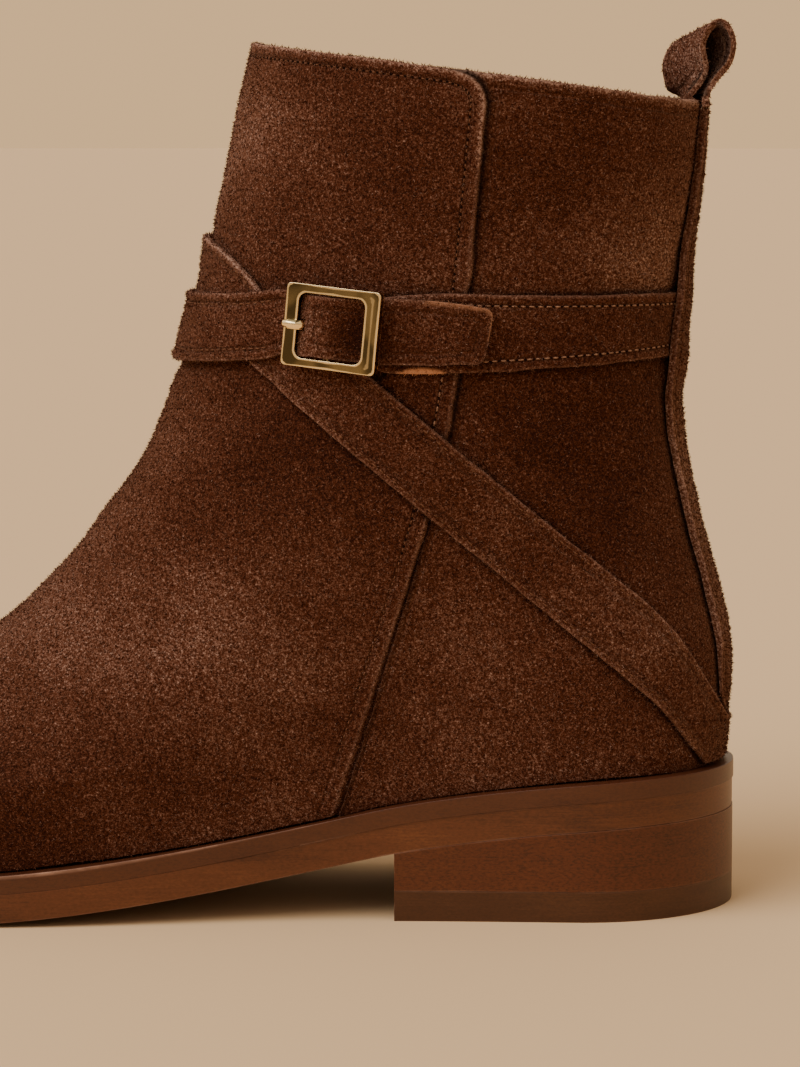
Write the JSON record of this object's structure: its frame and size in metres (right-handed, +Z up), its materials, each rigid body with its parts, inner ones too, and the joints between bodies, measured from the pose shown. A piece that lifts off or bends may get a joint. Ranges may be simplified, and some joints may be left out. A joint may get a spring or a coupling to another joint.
{
  "type": "ankle boot",
  "caption": "Brown suede ankle boot for the left foot with a diagonal heel strap, a buckled ankle strap, a pull loop and a low stacked leather heel.",
  "frame": {"origin": "centre of the boot's box, on the floor under the sole", "axes": "+X towards the heel, -X towards the toe, -Y towards the outer side of the left foot, +Z up to the collar"},
  "size_m": [0.2694, 0.093, 0.1844],
  "materials": {
    "suede": "napped suede",
    "sole_leather": "dyed and waxed edge",
    "top_lift": "satin",
    "lining": "matt",
    "gold": "polished"
  },
  "bodies": {
    "root": {"upper": "suede", "insole": "lining", "welt": "sole_leather", "outsole": "sole_leather", "heel_stack": "sole_leather", "top_lift": "top_lift", "back_strip": "suede", "pull_loop": "suede", "heel_strap": "suede", "ankle_strap": "suede", "buckle_strap": "suede", "buckle_frame": "gold", "buckle_prong": "gold"}
  },
  "joints": []
}
